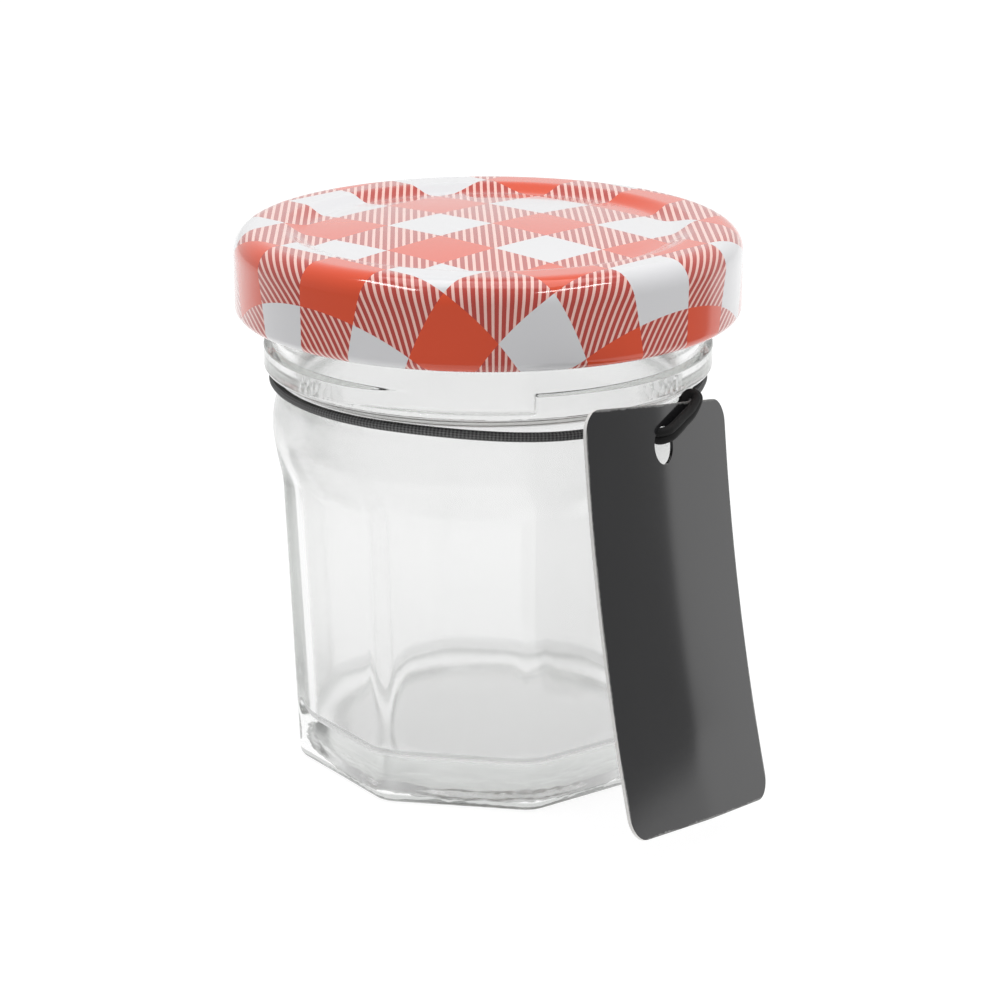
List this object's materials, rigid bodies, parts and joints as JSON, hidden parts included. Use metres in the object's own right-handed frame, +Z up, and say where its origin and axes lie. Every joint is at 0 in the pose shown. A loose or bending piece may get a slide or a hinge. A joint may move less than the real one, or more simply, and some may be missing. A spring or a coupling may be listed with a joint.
{
  "type": "glass jar",
  "caption": "Small faceted glass preserving jar with a round shoulder, a gingham twist-off lid, and a blank card tag on an elastic neck cord.",
  "frame": {"origin": "centre of the jar's foot, on the surface it stands on", "axes": "+Z up along the jar's axis; -Y towards the viewer, out of one facet; +X to the right, the tag's side"},
  "size_m": [0.0505, 0.0598, 0.05],
  "materials": {
    "glass": "clear, polished",
    "lid_lacquer": "glossy lacquer, red and white gingham",
    "sealing_compound": "matt",
    "elastic_cord": "braided",
    "black_card": "smooth, satin"
  },
  "bodies": {
    "jar": {"jar_glass": "glass"},
    "lid_seal": {"lid_gasket": "sealing_compound"},
    "lid": {"lid_shell": "lid_lacquer"},
    "cord": {"neck_cord": "elastic_cord"},
    "tag": {"swing_tag": "black_card", "tag_hitch": "elastic_cord"}
  },
  "joints": [
    {"name": "lid_lift", "type": "slide", "parent": "jar", "child": "lid_seal", "axis": [0, 0, 1], "range_m": [0, 0.00901]},
    {"name": "lid_twist", "type": "hinge", "parent": "lid_seal", "child": "lid", "pos_m": [0, 0, 0.046], "axis": [0, 0, 1], "range_deg": [0, 270]},
    {"name": "cord_turn", "type": "hinge", "parent": "jar", "child": "cord", "pos_m": [0, 0, 0.03595], "axis": [0, 0, 1], "continuous": true},
    {"name": "tag_swing", "type": "hinge", "parent": "cord", "child": "tag", "pos_m": [0.01939, -0.01068, 0.03793], "axis": [-0.3827, -0.9239, 0], "range_deg": [0, 100]}
  ],
  "couplings": [
    {"joint": "lid_lift", "follows": "lid_twist", "m_per_rad": 0.0019099}
  ]
}
